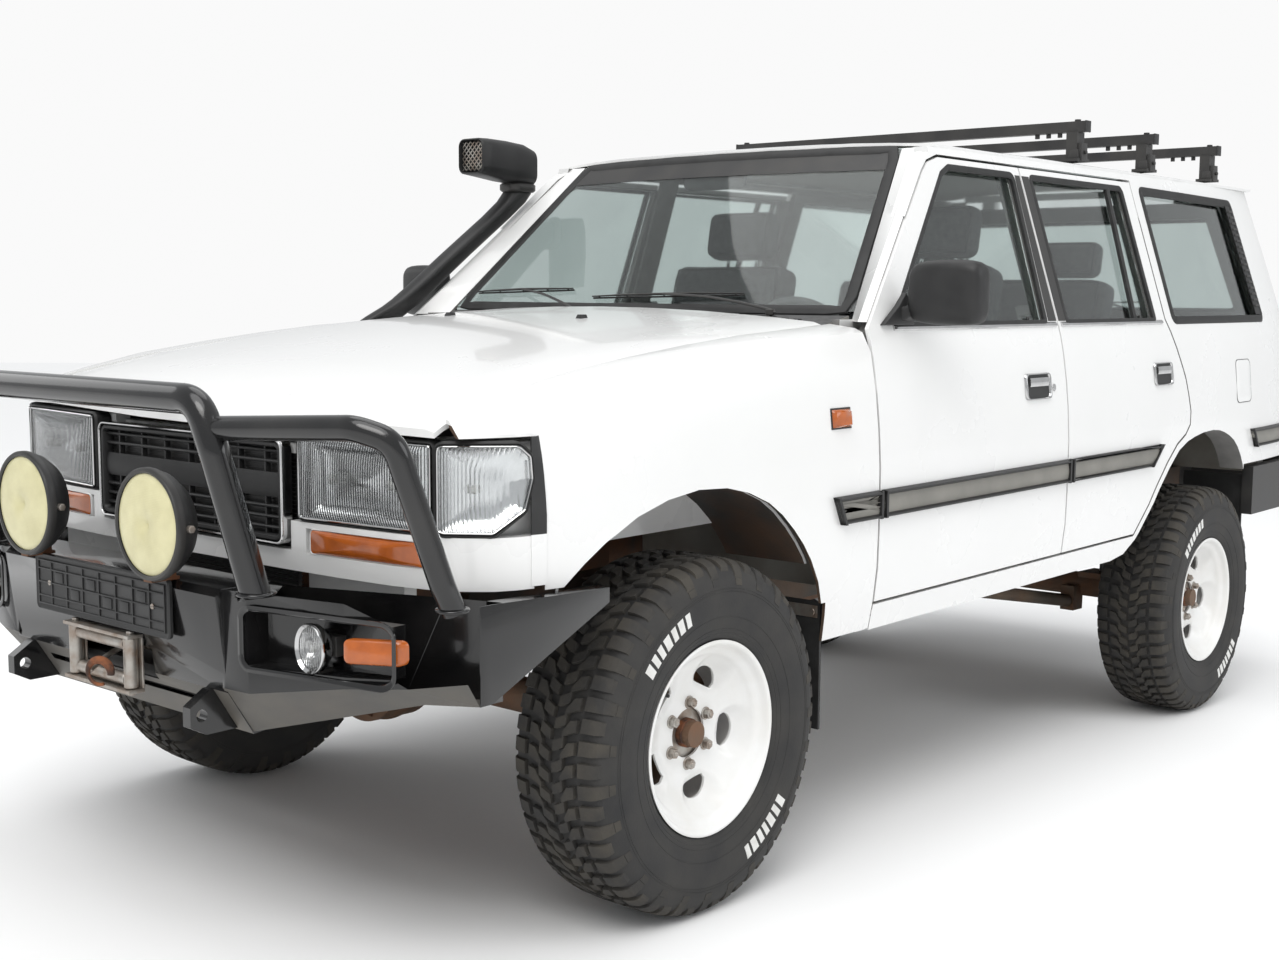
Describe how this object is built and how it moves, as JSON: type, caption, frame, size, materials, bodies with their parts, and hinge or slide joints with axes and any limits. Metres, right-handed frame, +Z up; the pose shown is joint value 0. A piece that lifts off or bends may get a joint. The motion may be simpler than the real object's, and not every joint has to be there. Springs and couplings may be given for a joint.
{
  "type": "off-road four-wheel-drive estate car",
  "caption": "Lifted long-wheelbase off-road estate car with opening doors and lids, steered wheels, winch bumper, snorkel and roof bars",
  "frame": {"origin": "centre of the footprint on the ground, tyres standing at z = 0", "axes": "+X to the vehicle's left, +Y to the rear along its length, +Z up"},
  "size_m": [2.156, 4.944, 2.048],
  "materials": {
    "white_paint": "gloss white paint",
    "chassis_black": "satin black chassis paint with rust",
    "bar_black": "gloss black powder coat",
    "bumper_grey": "dark grey satin",
    "dark_plastic": "black plastic",
    "glass": "tinted glass",
    "lamp_glass": "clear ribbed lens",
    "lamp_red": "red lens",
    "winch_steel": "dark grey paint",
    "rubber": "black rubber",
    "cast_iron": "cast iron with surface rust",
    "tyre": "off-road tread",
    "wheel_white": "white painted steel",
    "spring_steel": "black paint",
    "exhaust_steel": "rusted steel",
    "cabin_plastic": "grained grey plastic",
    "seat_cloth": "grey woven cloth"
  },
  "bodies": {
    "body": {"ladder_frame": "chassis_black", "body_tub": "white_paint", "body_sides": "white_paint", "roof_panel": "white_paint", "front_wings": "white_paint", "front_panel": "white_paint", "fixed_glass": "glass", "grille": "dark_plastic", "front_lamps": "lamp_glass", "bull_bar": "bar_black", "recovery_plates": "bar_black", "winch": "winch_steel", "driving_lamps": "dark_plastic", "snorkel": "dark_plastic", "roof_bars": "bar_black", "rear_bumper": "bumper_grey", "tail_lamps": "lamp_red", "mud_flaps": "rubber", "front_axle": "chassis_black", "rear_axle": "chassis_black", "suspension_links": "chassis_black", "coil_springs": "spring_steel", "engine_block": "cast_iron", "drive_train": "cast_iron", "fuel_tank": "chassis_black", "exhaust": "exhaust_steel", "dashboard": "cabin_plastic", "seats": "seat_cloth"},
    "bonnet": {"bonnet": "white_paint"},
    "door_front_left": {"front_door_left": "white_paint", "front_glass_left": "glass", "mirror_left": "dark_plastic"},
    "door_front_right": {"front_door_right": "white_paint", "front_glass_right": "glass", "mirror_right": "dark_plastic"},
    "door_rear_left": {"rear_door_left": "white_paint", "rear_glass_left": "glass"},
    "door_rear_right": {"rear_door_right": "white_paint", "rear_glass_right": "glass"},
    "liftgate": {"liftgate": "white_paint", "liftgate_glass": "glass"},
    "tailgate": {"tailgate": "white_paint"},
    "steer_left": {"knuckle_left": "cast_iron"},
    "steer_right": {"knuckle_right": "cast_iron"},
    "wheel_front_left": {"tyre_front_left": "tyre", "rim_front_left": "wheel_white"},
    "wheel_front_right": {"tyre_front_right": "tyre", "rim_front_right": "wheel_white"},
    "wheel_rear_left": {"tyre_rear_left": "tyre", "rim_rear_left": "wheel_white"},
    "wheel_rear_right": {"tyre_rear_right": "tyre", "rim_rear_right": "wheel_white"},
    "steering_wheel": {"steering_wheel": "cabin_plastic"}
  },
  "joints": [
    {"name": "bonnet_hinge", "type": "hinge", "parent": "body", "child": "bonnet", "pos_m": [0, -0.82831, 1.36444], "axis": [-1, 0, 0], "range_deg": [0, 50]},
    {"name": "front_door_left_hinge", "type": "hinge", "parent": "body", "child": "door_front_left", "pos_m": [0.905, -0.77661, 0.97191], "axis": [0, 0.0323, -0.9995], "range_deg": [0, 65]},
    {"name": "front_door_right_hinge", "type": "hinge", "parent": "body", "child": "door_front_right", "pos_m": [-0.905, -0.77661, 0.97191], "axis": [0, -0.0323, 0.9995], "range_deg": [0, 65]},
    {"name": "rear_door_left_hinge", "type": "hinge", "parent": "body", "child": "door_rear_left", "pos_m": [0.905, 0.27085, 1.00574], "axis": [0, 0.0323, -0.9995], "range_deg": [0, 65]},
    {"name": "rear_door_right_hinge", "type": "hinge", "parent": "body", "child": "door_rear_right", "pos_m": [-0.905, 0.27085, 1.00574], "axis": [0, -0.0323, 0.9995], "range_deg": [0, 65]},
    {"name": "liftgate_hinge", "type": "hinge", "parent": "body", "child": "liftgate", "pos_m": [0, 2.20893, 1.87076], "axis": [1, 0, 0], "range_deg": [0, 85]},
    {"name": "tailgate_hinge", "type": "hinge", "parent": "body", "child": "tailgate", "pos_m": [0, 2.33352, 0.89427], "axis": [-1, 0, 0], "range_deg": [0, 90]},
    {"name": "steer_left", "type": "hinge", "parent": "body", "child": "steer_left", "pos_m": [0.705, -1.43958, 0.402], "axis": [0, 0, 1], "range_deg": [-30, 30]},
    {"name": "steer_right", "type": "hinge", "parent": "body", "child": "steer_right", "pos_m": [-0.705, -1.43958, 0.402], "axis": [0, 0, 1], "range_deg": [-30, 30]},
    {"name": "wheel_front_left_spin", "type": "hinge", "parent": "steer_left", "child": "wheel_front_left", "pos_m": [0.797, -1.43958, 0.402], "axis": [1, 0, 0], "continuous": true},
    {"name": "wheel_front_right_spin", "type": "hinge", "parent": "steer_right", "child": "wheel_front_right", "pos_m": [-0.797, -1.43958, 0.402], "axis": [1, 0, 0], "continuous": true},
    {"name": "wheel_rear_left_spin", "type": "hinge", "parent": "body", "child": "wheel_rear_left", "pos_m": [0.797, 1.41042, 0.402], "axis": [1, 0, 0], "continuous": true},
    {"name": "wheel_rear_right_spin", "type": "hinge", "parent": "body", "child": "wheel_rear_right", "pos_m": [-0.797, 1.41042, 0.402], "axis": [1, 0, 0], "continuous": true},
    {"name": "steering_wheel_turn", "type": "hinge", "parent": "body", "child": "steering_wheel", "pos_m": [0.38, -0.34858, 1.22586], "axis": [0, 0.8922, 0.4517], "range_deg": [-480, 480]}
  ],
  "couplings": [
    {"joint": "steer_right", "follows": "steer_left", "ratio": 1},
    {"joint": "steering_wheel_turn", "follows": "steer_left", "ratio": 16}
  ]
}
